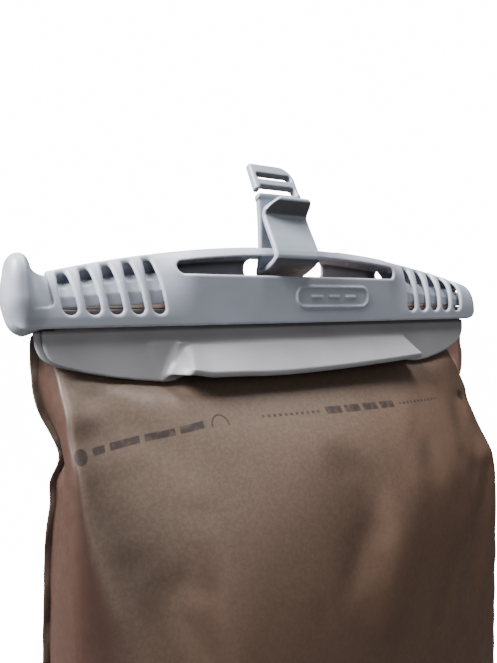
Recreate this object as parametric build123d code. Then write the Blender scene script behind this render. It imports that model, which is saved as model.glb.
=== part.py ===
from build123d import *
import math
import os

# Hydration bladder: a film bag whose mouth is folded forward over a bead and held
# shut by a slide bar, which hangs on a spring hook.
#
# Millimetres. +X runs along the slide bar towards its open end, -Y is the front and
# +Z is up. The pieces are laid out about the slide bar's middle plane, Y = 0, and
# then moved by RAIL_SETBACK, so that the origin is the middle of the handle rail.

# ---------------------------------------------------------------- driving dimensions
RAIL_SETBACK = 5.0          # the rail's axis lies this far in front of the middle plane

# slide bar
BAR_LEFT = -97.0            # where the thumb pad meets the bar
BAR_RIGHT = 97.0
BAR_HALF_DEPTH = 8.0
BAR_BOTTOM = -25.6
BAR_CROWN = 1.7             # top of the bar at X = 0
CROWN_DROP = 9.3            # how much lower the top is at X = +-CROWN_REACH
CROWN_REACH = 83.0
TOP_ROUND = 5.5             # rounding of the bar's two upper edges
END_ROUND = 4.0             # rounding of the open end, seen from the front
WALL = 1.8
FLOOR = 2.0                 # thickness of the bar's bottom behind the mouth
CHANNEL_LEFT = -91.0        # closed end of the channel that the fold slides in
CHANNEL_TOP = -12.7         # roof of that channel at the open end
CHANNEL_BACK = 5.4
CAVITY_RIGHT = 90.0         # the hollow above the channel stops short of the open end
MOUTH_BACK = 1.0            # the bar's bottom is open from the front wall to here

# handle slot, rail and the openings behind it
SLOT_LEFT = -49.0
SLOT_RIGHT = 46.0
SLOT_BOTTOM = -8.9
RAIL_HEIGHT = 3.4
RAIL_BACK = -3.0
NOTCH_LEFT = -16.5          # opening behind the rail that the hook's back leg comes up
NOTCH_RIGHT = 20.0
NOTCH_BACK = 4.6
RAIL_ZONE_BOTTOM = -6.5     # the rail's block is solid down to here before the slot is cut
BACK_OPENING_TOP = -2.4
SLOT_ROUND = 1.7
NOTCH_ROUND = 2.5

# vents
VENT_COUNT = 5
VENT_FIRST = 55.75          # middle of the innermost vent
VENT_PITCH = 6.9
VENT_WIDTH = 4.5
VENT_BOTTOM = -21.8
VENT_CREST = -1.3          # the front vents stop just short of the crest
BACK_VENT_FRONT = 5.0      # where the shorter back vents start
BACK_VENT_TOP = -13.5

# thumb pad
PAD_HEIGHT = 23.0
PAD_DEPTH = 18.0
PAD_THICK = 5.3
PAD_OUT = 4.0               # how far the pad's face lies outside BAR_LEFT
PAD_MIDDLE = -15.2
PAD_ROUND = 2.1

# hanging hook
HOOK_MIDDLE = -5.5
HOOK_WIDTH = 19.0
LEG_THICK = 2.3
# (y, z) middle line of the hook's strip: down the back leg, under the rail, up the
# front to the knee and on to the lip
HOOK_LINE = (
    (0.4, 19.8), (-0.9, 6.0), (-0.9, -2.0), (0.6, -7.6), (-0.6, -7.45),
    (-11.1, -2.8), (-10.4, 0.6), (-3.9, 12.0), (-4.4, 14.4), (-6.9, 18.3),
)
LADDER_THICK = 3.2
LADDER_LEAN = 28.0
LADDER_HEIGHT = 14.4
LADDER_CORNER = 6.0
WEB_SLOT_WIDTH = 15.0
WEB_SLOT_LOW = 7.6          # the closed slot's lower and upper edges, up the ladder
WEB_SLOT_HIGH = 10.0
OPEN_SLOT_LOW = 0.6         # the slot below it, which is open at its left end
OPEN_SLOT_HIGH = 4.4
OPEN_SLOT_GAP = 2.2         # height of that opening

# folded mouth
FOLD_HALF_WIDTH = 88.0
BEAD_RADIUS = 2.8
BEAD_Y = -1.0
BEAD_Z = -17.6
NECK_FILM = 0.6
LIP_THICK = 1.5
LIP_TOP = -20.2
FLAP_TOP = -26.2            # below the bar the strips widen into flaps
FLAP_BOTTOM = -43.0
# (x, z) lower contour of a flap, from its left end to its right end
FLAP_CONTOUR = (
    (-93.3, -28.5), (-91.4, -33.9), (-87.4, -36.7), (-74.6, -40.1), (-57.0, -42.6), (-40.0, -42.9),
    (0.0, -42.9), (45.0, -42.8), (63.3, -41.8), (76.9, -38.8), (85.7, -34.6), (89.2, -28.5),
)
OUTER_LIP_Y = -5.1
INNER_LIP_Y = -3.4
OUTER_LIP_INSET = 1.8       # the outer flap's left end stops this far inside the inner one's
FLAP_LEAN = 2.6             # how far the flap's lower edge stands forward

# finger ledge on the outer lip
LEDGE_LEFT = -50.0
LEDGE_RIGHT = 51.0
LEDGE_TOP = -31.4
LEDGE_RIM = -42.2
LEDGE_REACH = 9.0
LEDGE_SKIN = 1.8

# bag
BAG_TOP = -27.0
BAG_BOTTOM = -365.0
PANEL_FILM = 0.8
BAG_HALF_WIDTH = 90.0
BAG_WAIST = 2.5             # how far each side seam is drawn in, at WAIST_Z
WAIST_Z = -64.0
WAIST_REACH = 24.0
BOTTOM_CORNER = 20.0        # how far each lower corner is rounded off
FRONT_BULGE = 38.0
BACK_BULGE = 26.0
BAG_STEPS = 16              # sections that each wall is lofted through

# outlet port, on the front wall near the bottom, pointing forward
PORT_Z = -300.0
PORT_FILM_Y = -39.0         # the front wall's outer face at the port
FLANGE_RADIUS = 20.0
FLANGE_THICK = 3.6
NECK_RADIUS = 13.0
NECK_BORE = 10.5
NECK_LENGTH = 7.0
SOCKET_SKIRT = 15.4
SOCKET_RADIUS = 9.6
SOCKET_BORE = 6.5           # takes the plug's collar
SOCKET_STEP = 17.0          # the bore narrows here, from the film
NOSE_BORE = 4.6             # takes the plug's nose
SOCKET_LENGTH = 26.0        # from the film to the socket's mouth
SEAT_HOLE = 3.8
SEAT_INNER = 9.2            # inner face of the valve seat, from the film
SEAT_OUTER = 12.0
LATCH_NEAR = 20.0           # latch plate's two faces, from the film
LATCH_FAR = 22.2
LATCH_PLAY = 0.15           # gap on each side of the latch plate
LATCH_BITE = 0.6            # how far the plate's lower edge stands into the bore
LATCH_HOLE = 6.8
BUTTON_TRAVEL = 2.0
BUTTON_TOP = 14.4           # above the port's axis
BUTTON_THICK = 2.6

os.makedirs("parts", exist_ok=True)


# ---------------------------------------------------------------------- small helpers
def save(shape, name):
    """Move a finished piece into the part's frame and write it."""
    export_step(Pos(0, RAIL_SETBACK, 0) * shape, f"parts/{name}.step")


def block(x0, x1, y0, y1, z0, z1):
    return Pos((x0 + x1) / 2, (y0 + y1) / 2, (z0 + z1) / 2) * Box(x1 - x0, y1 - y0, z1 - z0)


def front_prism(outline, y0, y1):
    """Solid of a closed outline given in the X-Z plane, between two depths."""
    face = make_face(Plane.XZ * outline)
    return extrude(Pos(0, y1, 0) * face, amount=y1 - y0, dir=(0, -1, 0))


def side_prism(points, x0, x1):
    """Solid of a closed polygon of (y, z) points, between two places along X."""
    face = make_face(Plane.YZ * Polyline(*points, close=True))
    return extrude(Pos(x0, 0, 0) * face, amount=x1 - x0, dir=(1, 0, 0))


def flap_y(root_y, z):
    """Middle of a mouth strip at height z: upright in the bar, leaning forward below it."""
    bend = BAR_BOTTOM - 0.6
    return root_y - FLAP_LEAN * max(0.0, (bend - z) / (bend - FLAP_BOTTOM))


def side_strip(points, thick, x0, x1):
    """Bent strip of even thickness whose middle line is a list of (y, z) points."""
    strip = Part()
    for (ya, za), (yb, zb) in zip(points, points[1:]):
        length = math.hypot(yb - ya, zb - za)
        turn = math.degrees(math.atan2(zb - za, yb - ya))
        at = Pos((x0 + x1) / 2, (ya + yb) / 2, (za + zb) / 2) * Rot(turn, 0, 0)
        strip += at * Box(x1 - x0, length, thick)
    for y, z in points[1:-1]:
        strip += Pos((x0 + x1) / 2, y, z) * Rot(0, 90, 0) * Cylinder(thick / 2, x1 - x0)
    return strip


def rounded_window(x0, x1, z0, z1, radius, y0, y1):
    """Slot with rounded corners, cut along Y."""
    window = block(x0, x1, y0, y1, z0, z1)
    return fillet(window.edges().filter_by(Axis.Y), radius)


def crown(x, below=0.0):
    """Height of the slide bar's arched top at x."""
    return BAR_CROWN - CROWN_DROP * (x / CROWN_REACH) ** 2 - below


def port_disc(radius, near, far):
    """Disc on the port's axis between two distances in front of the film."""
    middle = PORT_FILM_Y - (near + far) / 2
    return Pos(0, middle, PORT_Z) * Rot(90, 0, 0) * Cylinder(radius, far - near)


def port_ring(outer, inner, near, far):
    return port_disc(outer, near, far) - port_disc(inner, near - 1, far + 1)


def port_torus(radius, wire, at):
    return Pos(0, PORT_FILM_Y - at, PORT_Z) * Rot(90, 0, 0) * Torus(radius, wire)


# -------------------------------------------------------------------------- slide bar
def bar_outline(left, right, below, bottom):
    """Front view of the bar: straight bottom and arched top."""
    middle = (left + right) / 2
    left_top = (left, crown(left, below))
    right_top = (right, crown(right, below))
    top = ThreePointArc(left_top, (middle, crown(middle, below)), right_top)
    sides = Polyline(right_top, (right, bottom), (left, bottom), left_top)
    return top + sides


def long_top_edges(body):
    return [edge for edge in body.edges() if edge.length > 150 and edge.center().Z > -14]


def make_slide_bar():
    body = front_prism(bar_outline(BAR_LEFT, BAR_RIGHT, 0, BAR_BOTTOM), -BAR_HALF_DEPTH, BAR_HALF_DEPTH)
    right_end = body.faces().sort_by(Axis.X)[-1]
    end_edges = right_end.edges().filter_by(Axis.Y)
    body = fillet(end_edges, END_ROUND)
    body = fillet(long_top_edges(body), TOP_ROUND)

    inner_depth = BAR_HALF_DEPTH - WALL
    floor_top = BAR_BOTTOM + FLOOR
    past_end = BAR_RIGHT + 10
    cavity = front_prism(bar_outline(CHANNEL_LEFT, CAVITY_RIGHT, WALL, floor_top), -inner_depth, inner_depth)
    cavity = fillet(long_top_edges(cavity), TOP_ROUND - WALL)
    channel = block(CHANNEL_LEFT, past_end, -inner_depth, CHANNEL_BACK, floor_top, CHANNEL_TOP)
    mouth = block(CHANNEL_LEFT, past_end, -inner_depth, MOUTH_BACK, BAR_BOTTOM - 1, floor_top + 1)
    rail_zone = body & block(
        SLOT_LEFT - WALL, SLOT_RIGHT + WALL, -BAR_HALF_DEPTH, RAIL_BACK, RAIL_ZONE_BOTTOM, BAR_CROWN + 1
    )
    bar = body - cavity - channel - mouth + rail_zone

    slot_outline = bar_outline(SLOT_LEFT, SLOT_RIGHT, RAIL_HEIGHT, SLOT_BOTTOM)
    slot = front_prism(slot_outline, -BAR_HALF_DEPTH - 1, RAIL_BACK + 0.05)
    bar -= fillet(slot.edges().filter_by(Axis.Y), SLOT_ROUND)
    notch = block(NOTCH_LEFT, NOTCH_RIGHT, RAIL_BACK, NOTCH_BACK, RAIL_ZONE_BOTTOM, BAR_CROWN + 2)
    bar -= fillet(notch.edges().filter_by(Axis.Z).sort_by(Axis.Y)[-2:], NOTCH_ROUND)
    bar -= rounded_window(
        NOTCH_LEFT, NOTCH_RIGHT, SLOT_BOTTOM - 0.5, BACK_OPENING_TOP, NOTCH_ROUND,
        NOTCH_BACK, BAR_HALF_DEPTH + 1,
    )

    for side in (-1, 1):
        for index in range(VENT_COUNT):
            x = side * (VENT_FIRST + VENT_PITCH * index)
            half = VENT_WIDTH / 2
            bar -= rounded_window(
                x - half, x + half, VENT_BOTTOM, BAR_CROWN + 4, half - 0.05, -BAR_HALF_DEPTH - 1, VENT_CREST
            )
            bar -= rounded_window(
                x - half, x + half, VENT_BOTTOM, BACK_VENT_TOP, half - 0.05, BACK_VENT_FRONT, BAR_HALF_DEPTH + 1
            )
    pad = Pos(BAR_LEFT - PAD_OUT + PAD_THICK / 2, 0, PAD_MIDDLE) * Rot(0, 90, 0) * extrude(
        Ellipse(PAD_HEIGHT / 2, PAD_DEPTH / 2), amount=PAD_THICK / 2, both=True
    )
    pad = fillet(pad.edges(), PAD_ROUND)
    return bar + pad


# ----------------------------------------------------------------------- hanging hook
def make_hook():
    x0 = HOOK_MIDDLE - HOOK_WIDTH / 2
    x1 = HOOK_MIDDLE + HOOK_WIDTH / 2
    top_y, top_z = HOOK_LINE[0]
    hook = side_strip(HOOK_LINE, LEG_THICK, x0, x1)
    hook += Pos(HOOK_MIDDLE, top_y, top_z) * Rot(0, 90, 0) * Cylinder(LEG_THICK / 2, HOOK_WIDTH)

    # ladder, drawn upright and then leant back at the top of the back leg
    half = LADDER_THICK / 2
    ladder = block(x0, x1, -half, half, -1.0, LADDER_HEIGHT)
    top_corner = ladder.edges().filter_by(Axis.Y).group_by(Axis.Z)[-1]
    ladder = fillet(top_corner.sort_by(Axis.X)[-1], LADDER_CORNER)
    slot_left = HOOK_MIDDLE - WEB_SLOT_WIDTH / 2
    slot_right = HOOK_MIDDLE + WEB_SLOT_WIDTH / 2
    ladder -= rounded_window(slot_left, slot_right, WEB_SLOT_LOW, WEB_SLOT_HIGH, 0.9, -3, 3)
    ladder -= rounded_window(slot_left, slot_right, OPEN_SLOT_LOW, OPEN_SLOT_HIGH, 1.2, -3, 3)
    ladder -= block(x0 - 1, slot_left + 2, -3, 3, OPEN_SLOT_LOW, OPEN_SLOT_LOW + OPEN_SLOT_GAP)
    return hook + Pos(0, top_y, top_z) * Rot(-LADDER_LEAN, 0, 0) * ladder


# ------------------------------------------------------------------------ mouth strips
def flap_outline(inset):
    """Front view of a mouth strip: narrow in the bar, and a wider flap with large corners below."""
    reach = abs(FLAP_CONTOUR[0][0])
    contour = [(x + inset * max(0.0, -x / reach) ** 4, z) for x, z in FLAP_CONTOUR]
    first, last = contour[0], contour[-1]
    top = Polyline(
        first, (first[0], FLAP_TOP), (-FOLD_HALF_WIDTH, FLAP_TOP), (-FOLD_HALF_WIDTH, LIP_TOP),
        (FOLD_HALF_WIDTH, LIP_TOP), (FOLD_HALF_WIDTH, FLAP_TOP), (last[0], FLAP_TOP), last,
    )
    return top + Spline(*contour)


def make_strip(y, inset):
    reach = abs(FLAP_CONTOUR[0][0]) + 1
    bent = side_strip(
        [(y, LIP_TOP), (y, BAR_BOTTOM - 0.6), (flap_y(y, FLAP_BOTTOM - 1), FLAP_BOTTOM - 1)],
        LIP_THICK, -reach, reach,
    )
    return bent & front_prism(flap_outline(inset), -20, 5)


def make_outer_lip():
    strip = make_strip(OUTER_LIP_Y, OUTER_LIP_INSET)
    root_top = flap_y(OUTER_LIP_Y, LEDGE_TOP)
    root_low = flap_y(OUTER_LIP_Y, LEDGE_RIM)
    tip = root_low - LEDGE_REACH
    wedge = side_prism(
        [(root_top, LEDGE_TOP), (tip, LEDGE_RIM + 2.4), (tip, LEDGE_RIM), (root_low, LEDGE_RIM)],
        LEDGE_LEFT, LEDGE_RIGHT,
    )
    hollow = side_prism(
        [
            (root_top - 1.2, LEDGE_TOP - 3.6), (tip + LEDGE_SKIN, LEDGE_RIM + 1.2),
            (tip + LEDGE_SKIN, LEDGE_RIM - 1), (root_low - 0.9, LEDGE_RIM - 1),
        ],
        LEDGE_LEFT + 1.6, LEDGE_RIGHT - 1.6,
    )
    return strip + (wedge - hollow)


# -------------------------------------------------------------------------------- bag
def fold_wrap(radius, film_y, thick):
    """Film neck from behind the strips, up over the bead and down through the mouth."""
    outer = Cylinder(radius + thick / 2, 2 * FOLD_HALF_WIDTH)
    inner = Cylinder(radius - thick / 2, 2 * FOLD_HALF_WIDTH + 2)
    turn = Pos(0, BEAD_Y, BEAD_Z) * Rot(0, 90, 0) * (outer - inner)
    turn &= block(-100, 100, BEAD_Y - 10, BEAD_Y + 10, BEAD_Z, BEAD_Z + 10)
    front = block(
        -FOLD_HALF_WIDTH, FOLD_HALF_WIDTH,
        BEAD_Y - radius - thick / 2, BEAD_Y - radius + thick / 2,
        LIP_TOP + 0.1, BEAD_Z,
    )
    back = side_strip(
        [
            (BEAD_Y + radius, BEAD_Z + 0.01), (BEAD_Y + radius, BEAD_Z - 1.4),
            (film_y, BAR_BOTTOM + 3.0), (film_y, BAG_TOP),
        ],
        thick, -FOLD_HALF_WIDTH, FOLD_HALF_WIDTH,
    )
    return turn + front + back


def bag_section(z, half_width, bulge, side, y0, thick):
    """Crescent section of one bag wall, side -1 at the front and +1 at the back."""
    def wall(depth):
        points = []
        for share in (-1, -0.965, -0.88, -0.6, 0, 0.6, 0.88, 0.965, 1):
            reach = max(0.0, 1 - abs(share) ** 4) ** 0.6
            points.append((share * half_width, y0 + side * depth * reach, z))
        return points

    outer = [(x, y + side * thick, z) for x, y, z in wall(bulge)]
    inner = wall(bulge)
    edges = [
        Spline(*outer),
        Line(outer[-1], inner[-1]),
        Spline(*reversed(inner)),
        Line(inner[0], outer[0]),
    ]
    return Face(Wire(edges))


def bag_half_width(z):
    waist = BAG_WAIST * math.exp(-(((z - WAIST_Z) / WAIST_REACH) ** 2))
    corner = BOTTOM_CORNER * math.exp(-(z - BAG_BOTTOM) / 12.0)
    return BAG_HALF_WIDTH - waist - corner


def bag_fullness(z, start):
    """0 at both ends of the bag and 1 where it is full."""
    swell = 1 - math.exp(-(((BAG_TOP - z) / 38.0) ** start))
    close = 1 - math.exp(-(((z - BAG_BOTTOM) / 26.0) ** 1.5))
    return max(swell * close, 0.012)


def make_panel(side, y0):
    bulge, start = (FRONT_BULGE, 3.0) if side < 0 else (BACK_BULGE, 1.8)
    sections = []
    for step in range(BAG_STEPS + 1):
        share = (1 - math.cos(math.pi * step / BAG_STEPS)) / 2
        z = BAG_TOP + (BAG_BOTTOM - BAG_TOP) * share
        depth = bulge * bag_fullness(z, start)
        sections.append(bag_section(z, bag_half_width(z), depth, side, y0, PANEL_FILM))
    return loft(sections)


# ------------------------------------------------------------------------- outlet port
def make_port_flange():
    flange = port_ring(FLANGE_RADIUS, NECK_BORE, -FLANGE_THICK + 1.2, 1.2)
    return flange + port_ring(NECK_RADIUS, NECK_BORE, 1.2, NECK_LENGTH)


def make_socket_body():
    skirt = port_ring(SOCKET_SKIRT, NECK_RADIUS + 0.05, 1.8, NECK_LENGTH + 1.2)
    plate = port_ring(SOCKET_SKIRT, SEAT_HOLE, NECK_LENGTH + 1.2, SEAT_OUTER)
    plate -= port_ring(NECK_RADIUS + 2, 9.05, NECK_LENGTH + 0.2, NECK_LENGTH + 1.2)
    pocket = port_disc(9.05, NECK_LENGTH, SEAT_INNER)
    tube = port_disc(SOCKET_RADIUS, SEAT_OUTER, SOCKET_LENGTH)
    housing = block(
        -9.5, 9.5, PORT_FILM_Y - LATCH_FAR - 1.8, PORT_FILM_Y - LATCH_NEAR + 1.8, PORT_Z - 13.0, PORT_Z + 9.0
    )
    latch_slot = block(
        -8.1, 8.1, PORT_FILM_Y - LATCH_FAR - LATCH_PLAY, PORT_FILM_Y - LATCH_NEAR + LATCH_PLAY,
        PORT_Z - 11.8, PORT_Z + 10.0,
    )
    body = skirt + plate - pocket + tube + housing
    body -= port_disc(NOSE_BORE, SEAT_OUTER, SOCKET_STEP + 1)
    body -= port_disc(SOCKET_BORE, SOCKET_STEP, SOCKET_LENGTH + 1)
    body -= latch_slot
    return body - port_disc(NOSE_BORE + 0.9, 13.6, 15.4)


def make_release_button():
    near = PORT_FILM_Y - LATCH_NEAR
    far = PORT_FILM_Y - LATCH_FAR
    plate = block(-7.9, 7.9, far, near, PORT_Z - 8.4, PORT_Z + 9.6)
    # the hole is long enough to clear the bore when the button is right down
    hole_low = SOCKET_BORE - LATCH_BITE
    for up in (LATCH_HOLE - hole_low, BUTTON_TRAVEL):
        plate -= Pos(0, 0, up) * port_disc(LATCH_HOLE, LATCH_NEAR - 1, LATCH_FAR + 1)
    plate -= block(
        -LATCH_HOLE, LATCH_HOLE, far - 1, near + 1, PORT_Z + LATCH_HOLE - hole_low, PORT_Z + BUTTON_TRAVEL
    )
    underside = PORT_Z + BUTTON_TOP - BUTTON_THICK
    cap = block(-7.0, 7.0, far - 1.6, near + 3.0, underside, PORT_Z + BUTTON_TOP)
    stalk = block(-7.0, 7.0, far, near, PORT_Z + 9.0, underside + 1)
    return plate + stalk + fillet(cap.edges(), 0.8)


def make_poppet():
    head = port_disc(5.6, 6.6, SEAT_INNER - 0.75)
    stem = port_disc(2.0, 6.6, SEAT_OUTER + 1.6)
    guide = port_disc(1.5, -0.4, 6.6)
    groove = port_ring(5.2, 3.9, SEAT_INNER - 1.15, SEAT_INNER)
    return head + stem + guide - groove


def make_cage():
    wall = port_ring(9.0, 7.6, 2.6, SEAT_INNER - 0.05)
    base = port_ring(9.0, 1.6, 1.2, 2.6)
    for turn in range(4):
        angle = math.radians(45 + 90 * turn)
        base -= Pos(4.9 * math.cos(angle), 0, 4.9 * math.sin(angle)) * port_disc(1.6, 0, 4)
    return wall + base


def coil_spring(radius, wire, length, turns):
    """Spring along +Z from its own base."""
    path = Helix(length / turns, length, radius)
    section = Plane(path @ 0, z_dir=path % 0) * Circle(wire / 2)
    return sweep(section, path=path, is_frenet=True)


def main():
    save(make_slide_bar(), "slide_seal_bar")
    save(make_hook(), "hanging_hook")

    save(make_outer_lip(), "outer_mouth_lip")
    save(make_strip(INNER_LIP_Y, 0), "inner_mouth_lip")
    bead = Pos(0, BEAD_Y, BEAD_Z) * Rot(0, 90, 0) * Cylinder(BEAD_RADIUS, 2 * FOLD_HALF_WIDTH)
    save(bead, "fold_bead")

    # the inner layer of the fold is the front wall, the outer layer is the back wall
    front_film_y = -0.85
    back_film_y = 0.3
    inner_turn = BEAD_RADIUS + 0.1 + NECK_FILM / 2
    outer_turn = inner_turn + NECK_FILM + 0.1
    front = make_panel(-1, front_film_y + NECK_FILM / 2) + fold_wrap(inner_turn, front_film_y, NECK_FILM)
    front -= port_disc(FLANGE_RADIUS, -8, 8)
    save(front, "front_film")
    back = make_panel(1, back_film_y - NECK_FILM / 2) + fold_wrap(outer_turn, back_film_y, NECK_FILM)
    save(back, "back_film")

    save(make_port_flange(), "port_flange")
    save(port_ring(NECK_RADIUS, NECK_BORE + 0.2, NECK_LENGTH, NECK_LENGTH + 1.15), "port_gasket")
    save(make_socket_body(), "socket_body")
    save(port_torus(NOSE_BORE + 0.2, 0.75, 14.5), "plug_seal")
    save(make_release_button(), "release_button")
    spring = coil_spring(0.85, 0.4, 2.4, 3)
    middle = (LATCH_NEAR + LATCH_FAR) / 2
    spring_at = Pos(0, PORT_FILM_Y - middle, PORT_Z - 11.3)
    save(Pos(-3.5, 0, 0) * spring_at * spring + Pos(3.5, 0, 0) * spring_at * spring, "button_spring")
    save(make_poppet(), "valve_poppet")
    save(port_torus(4.55, 0.6, SEAT_INNER - 0.7), "poppet_seal")
    valve_spring = Pos(0, PORT_FILM_Y - 2.9, PORT_Z) * Rot(90, 0, 0) * coil_spring(3.0, 0.6, 3.3, 3)
    save(valve_spring, "poppet_spring")
    save(make_cage(), "valve_cage")


main()
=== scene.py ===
import functools
import math

import bmesh
import bpy
import numpy as np
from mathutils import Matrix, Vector


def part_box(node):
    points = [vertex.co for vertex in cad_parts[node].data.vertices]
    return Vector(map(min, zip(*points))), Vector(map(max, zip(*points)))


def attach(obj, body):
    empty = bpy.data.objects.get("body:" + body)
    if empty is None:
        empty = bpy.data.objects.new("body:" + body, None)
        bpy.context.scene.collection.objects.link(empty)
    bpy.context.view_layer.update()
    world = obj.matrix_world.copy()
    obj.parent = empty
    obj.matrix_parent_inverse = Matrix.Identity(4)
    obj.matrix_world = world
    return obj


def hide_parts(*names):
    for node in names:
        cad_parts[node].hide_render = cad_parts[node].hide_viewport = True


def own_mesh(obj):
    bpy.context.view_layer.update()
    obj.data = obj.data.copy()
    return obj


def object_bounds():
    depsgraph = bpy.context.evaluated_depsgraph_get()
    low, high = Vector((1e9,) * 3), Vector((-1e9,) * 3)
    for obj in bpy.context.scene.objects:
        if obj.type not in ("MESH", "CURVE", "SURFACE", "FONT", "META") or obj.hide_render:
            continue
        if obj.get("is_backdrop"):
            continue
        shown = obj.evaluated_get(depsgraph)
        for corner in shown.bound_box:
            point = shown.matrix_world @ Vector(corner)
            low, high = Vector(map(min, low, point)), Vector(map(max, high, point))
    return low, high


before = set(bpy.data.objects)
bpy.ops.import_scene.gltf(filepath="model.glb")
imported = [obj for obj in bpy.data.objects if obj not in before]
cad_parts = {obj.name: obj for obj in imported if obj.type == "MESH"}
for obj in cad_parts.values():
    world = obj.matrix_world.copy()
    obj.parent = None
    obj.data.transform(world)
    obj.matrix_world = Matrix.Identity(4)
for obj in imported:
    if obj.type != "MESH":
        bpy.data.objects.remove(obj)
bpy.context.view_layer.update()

# The moulded pieces are drawn as signed distances in millimetres, in the frame's axes,
# but measured from the slide bar's middle plane: MIDDLE is that plane's place along Y.
MM = 0.001


def cad_box(node):
    """A CAD node's box in millimetres."""
    low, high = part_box(node)
    return np.array(low) / MM, np.array(high) / MM


BAR_LOW, BAR_HIGH = cad_box("slide_seal_bar")
MIDDLE = (BAR_LOW[1] + BAR_HIGH[1]) / 2

# The slide bar: its outside, the channel that the fold slides in, and the handle's rail and slot.
BAR_HALF = 8.0
BAR_BOTTOM = -25.6
BAR_END = BAR_HIGH[0]
PAD_FACE = BAR_LOW[0]
PAD_MIDDLE, PAD_HALF_HEIGHT, PAD_HALF_DEPTH = -15.2, 11.4, 8.6
BAR_WALL = 1.6
ARCH_START = BAR_BOTTOM + 3.0   # height where the arched section starts to lean in
CROWN = 1.7
CROWN_DROP = 9.3 / 83.0 ** 2
CHANNEL_START = -89.0
CHANNEL_TOP = -12.7
CHANNEL_FRONT, CHANNEL_BACK, MOUTH_BACK = -6.2, 5.4, 1.0
SLOT_LEFT, SLOT_RIGHT, SLOT_BOTTOM = -49.0, 46.0, -8.9
RAIL_HEIGHT = 3.4
RAIL_BACK, RAIL_FOOT = -3.0, -6.5
NOTCH_LEFT, NOTCH_RIGHT, NOTCH_BACK = -16.5, 20.0, 4.6
VENTS = 5
VENT_FIRST, VENT_PITCH, VENT_WIDTH, VENT_BOTTOM = 55.75, 6.9, 4.5, -21.8
VENT_CREST = -0.9               # the front vents stop just short of the bar's crest
VENT_FAN = 0.13                 # how far the vents lean outward, per millimetre of height
BACK_VENT_TOP, BACK_VENT_FRONT = -13.5, 4.8
SCOOP_WIDTH, SCOOP_DEPTH, SCOOP_BOTTOM = 6.0, 1.15, -19.4
# (y, z) middle line of the inner wall that arches over the folded mouth
CHANNEL_ROOF = [(5.6, -12.0), (3.4, -9.8), (0.2, -9.2), (-2.8, -11.2), (-4.4, -14.4), (-4.7, -18.2)]
ROOF_START, ROOF_END = 50.0, 93.0
BADGE_X, BADGE_Z = 14.0, -16.2


# ---- distance functions
CORNER_CUTS = 2


def round_max(a, b, radius):
    """Intersection of two distances, with its edge rounded."""
    ua = np.maximum(a + radius, 0)
    ub = np.maximum(b + radius, 0)
    return np.minimum(np.maximum(a, b), -radius) + np.hypot(ua, ub)


def round_min(a, b, radius):
    """Union of two distances, with its inner corner filled by a fillet."""
    return -round_max(-a, -b, radius)


def cut(a, b, radius):
    """a with b taken away, and the new edge rounded."""
    return round_max(a, -b, radius)


def overlap(*distances):
    """What lies inside all of several distances."""
    return functools.reduce(np.maximum, distances)


def union(*distances):
    return functools.reduce(np.minimum, distances)


def slab(v, low, high):
    """Distance along one axis to the stretch from low to high."""
    return np.abs(v - (low + high) / 2) - (high - low) / 2


def capsule_2d(u, v, a, b):
    """Distance in a plane to the line from a to b."""
    du, dv = b[0] - a[0], b[1] - a[1]
    t = np.clip(((u - a[0]) * du + (v - a[1]) * dv) / (du * du + dv * dv), 0, 1)
    return np.hypot(u - a[0] - t * du, v - a[1] - t * dv)


def path_2d(u, v, points):
    """Distance in a plane to a line through several points."""
    distance = capsule_2d(u, v, points[0], points[1])
    for a, b in zip(points[1:], points[2:]):
        distance = np.minimum(distance, capsule_2d(u, v, a, b))
    return distance


def smooth_path(points):
    """Corner cutting: turns a given list of points into a smooth one."""
    points = [np.array(p, float) for p in points]
    for _ in range(CORNER_CUTS):
        finer = [points[0]]
        for a, b in zip(points, points[1:]):
            finer += [a * 0.75 + b * 0.25, a * 0.25 + b * 0.75]
        points = finer + [points[-1]]
    return points


def polygon_2d(u, v, points):
    """Distance in a plane to a closed polygon, negative inside it."""
    ring = list(points) + [points[0]]
    inside = False
    for a, b in zip(ring, ring[1:]):
        if a[1] != b[1]:
            reach = a[0] + (b[0] - a[0]) * (v - a[1]) / (b[1] - a[1])
            inside = inside ^ (((a[1] > v) != (b[1] > v)) & (u < reach))
    distance = path_2d(u, v, ring)
    return np.where(inside, -distance, distance)


def smoothstep(v, low, high):
    """0 below low and 1 above high, with a soft rise between them."""
    t = np.clip((v - low) / (high - low), 0, 1)
    return t * t * (3 - 2 * t)


# ---- meshes from distances
SETTLE_ROUNDS = 4
LEAST_SLOPE_SQUARED = 0.25


def sample(distance, points):
    return distance((points[:, 0], points[:, 1], points[:, 2]))


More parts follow.
